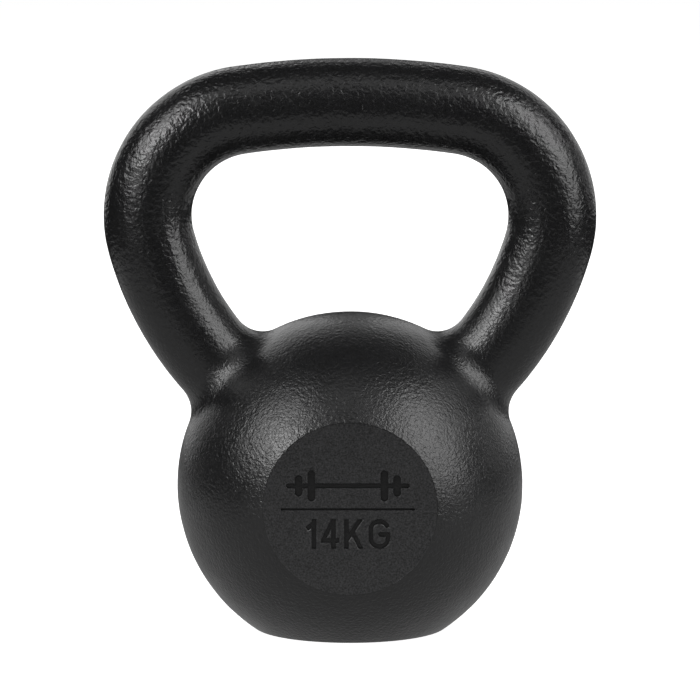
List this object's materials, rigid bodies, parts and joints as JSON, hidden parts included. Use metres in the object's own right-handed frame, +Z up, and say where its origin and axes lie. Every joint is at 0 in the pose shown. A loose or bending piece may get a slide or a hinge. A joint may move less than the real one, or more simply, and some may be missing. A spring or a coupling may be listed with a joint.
{
  "type": "kettlebell",
  "caption": "Cast-iron kettlebell: a round ball with a flat base and a marked front flat, under a wide looped handle, in textured black powder coat.",
  "frame": {"origin": "on the floor, in the middle of the flat base, straight under the centre of the ball", "axes": "+Z up; +X along the grip, to the right of someone facing the marked flat; +Y away from the marked flat, which faces -Y"},
  "size_m": [0.2068, 0.1356, 0.2417],
  "materials": {
    "cast_iron": "as cast, shot blasted",
    "textured_coat": "satin",
    "front_disc_coat": "matte",
    "base_coat": "matte"
  },
  "bodies": {
    "root": {"ball": "cast_iron", "handle": "cast_iron", "powder_coat": "textured_coat", "front_disc_coat": "front_disc_coat", "base_coat": "base_coat"}
  },
  "joints": []
}
